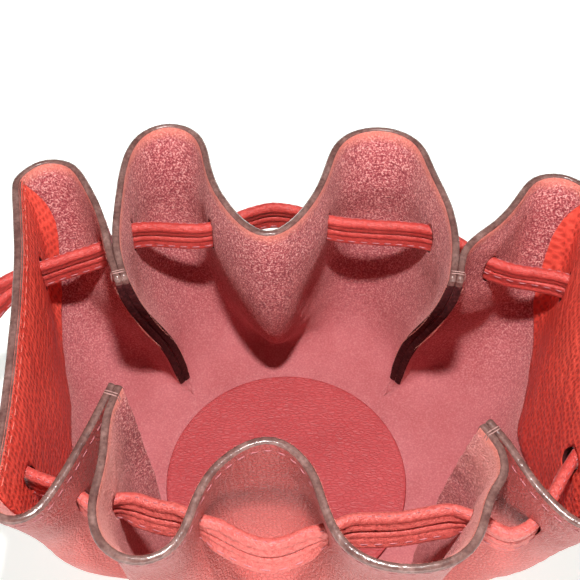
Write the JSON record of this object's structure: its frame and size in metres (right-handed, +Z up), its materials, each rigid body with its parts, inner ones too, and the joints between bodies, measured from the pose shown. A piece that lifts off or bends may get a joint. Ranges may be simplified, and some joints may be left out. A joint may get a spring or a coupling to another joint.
{
  "type": "kinchaku drawstring pouch",
  "caption": "Open leather drawstring pouch with sewn side seams, side facings, a round base disc and two flat drawstrings threaded through slits below the rim.",
  "frame": {"origin": "centre of the bounding box in plan, on the surface that the pouch stands on", "axes": "+Z up through the mouth, +X to the right and +Y to the back as the pouch is seen in the picture"},
  "size_m": [0.1546, 0.1092, 0.0668],
  "materials": {
    "body_leather": "suede flesh side in, smooth dull grain side out",
    "disc_leather": "fine printed grain, semi-matte",
    "facing_leather": "pebbled grain, semi-matte",
    "strap_leather": "folded and stitched, satin"
  },
  "bodies": {
    "root": {"pouch_body": "body_leather", "base_disc": "disc_leather", "side_facing_left": "facing_leather", "side_facing_right": "facing_leather", "drawstring_upper": "strap_leather", "drawstring_lower": "strap_leather", "sleeve_left": "strap_leather", "sleeve_right": "strap_leather"}
  },
  "joints": []
}
